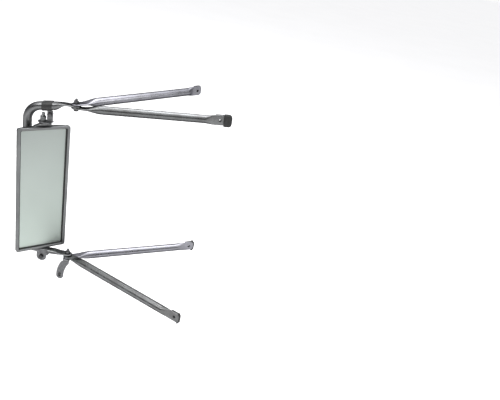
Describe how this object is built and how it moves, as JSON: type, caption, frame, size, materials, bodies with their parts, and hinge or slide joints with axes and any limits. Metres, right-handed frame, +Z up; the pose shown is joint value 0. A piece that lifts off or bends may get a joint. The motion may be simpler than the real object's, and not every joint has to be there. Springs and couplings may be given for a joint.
{
  "type": "door mirror",
  "caption": "Tall flat mirror head with a slim metal rim, clamped in a bent tube loop that is carried by splayed tube arms with pressed feet.",
  "frame": {"origin": "centre of the bolt hole in the foot of the upper rear arm", "axes": "+Z up along the hinge axes, +X from the mirror head towards the vehicle, -Y towards the vehicle's rear, where the glass looks"},
  "size_m": [0.6015, 0.5805, 0.6248],
  "materials": {
    "tube": "worn bright plating, pressed ends",
    "stainless": "satin stainless sheet",
    "plated_hardware": "dark plated fasteners",
    "black_steel": "black coated clamp",
    "pressed_steel": "dull grey pressed steel",
    "rubber": "black rubber",
    "mirror": "silvered glass",
    "foam": "closed foam backing",
    "bronze": "plain bearing bronze",
    "nylon": "natural nylon"
  },
  "bodies": {
    "upper_rear": {"upper_rear_arm": "tube", "upper_rear_boot": "rubber", "upper_pivot_bolt": "plated_hardware", "upper_pivot_nut": "plated_hardware", "upper_pivot_washers": "plated_hardware"},
    "upper_front": {"upper_front_arm": "tube", "upper_front_pad": "rubber", "upper_front_spacer": "plated_hardware"},
    "loop": {"loop_tube": "tube", "top_clip": "black_steel", "top_clip_bolt": "plated_hardware", "top_clip_nut": "plated_hardware", "bottom_yoke": "pressed_steel", "bottom_pivot_pin": "plated_hardware", "yoke_bolt": "plated_hardware", "yoke_nut": "plated_hardware", "lower_pivot_bolt": "plated_hardware", "lower_pivot_nut": "plated_hardware", "lower_pivot_washers": "plated_hardware", "upper_loop_spacer": "plated_hardware"},
    "head": {"mirror_shell": "stainless", "rim_frame": "stainless", "glass_gasket": "rubber", "mirror_glass": "mirror", "backing_pad": "foam", "stud_channel": "pressed_steel", "top_stud": "stainless", "stud_saddle": "stainless", "stud_nuts": "stainless", "stud_washers": "plated_hardware", "bottom_bush": "bronze", "bottom_thrust_washer": "nylon"},
    "lower_rear": {"lower_rear_arm": "tube", "lower_rear_pad": "rubber", "lower_rear_spacer": "plated_hardware"},
    "lower_front": {"lower_front_arm": "tube", "lower_front_pad": "rubber", "lower_front_spacer": "plated_hardware"},
    "strap": {"lower_strap": "pressed_steel", "strap_grommet": "rubber", "strap_spacer": "plated_hardware"}
  },
  "joints": [
    {"name": "loop_swing", "type": "hinge", "parent": "upper_rear", "child": "loop", "pos_m": [-0.41109, -0.09415, -0.00918], "axis": [0, 0, 1], "range_deg": [-60, 60]},
    {"name": "upper_front_swing", "type": "hinge", "parent": "upper_rear", "child": "upper_front", "pos_m": [-0.41109, -0.09415, -0.00918], "axis": [0, 0, 1], "range_deg": [-4, 45]},
    {"name": "head_turn", "type": "hinge", "parent": "loop", "child": "head", "pos_m": [-0.50489, -0.09415, -0.26418], "axis": [0, 0, 1], "range_deg": [-6, 100]},
    {"name": "lower_rear_swing", "type": "hinge", "parent": "loop", "child": "lower_rear", "pos_m": [-0.41109, -0.09415, -0.51918], "axis": [0, 0, 1], "range_deg": [-45, 3]},
    {"name": "lower_front_swing", "type": "hinge", "parent": "loop", "child": "lower_front", "pos_m": [-0.41109, -0.09415, -0.51918], "axis": [0, 0, 1], "range_deg": [-3, 60]},
    {"name": "strap_swing", "type": "hinge", "parent": "loop", "child": "strap", "pos_m": [-0.41109, -0.09415, -0.51918], "axis": [0, 0, 1], "range_deg": [-30, 15]}
  ]
}
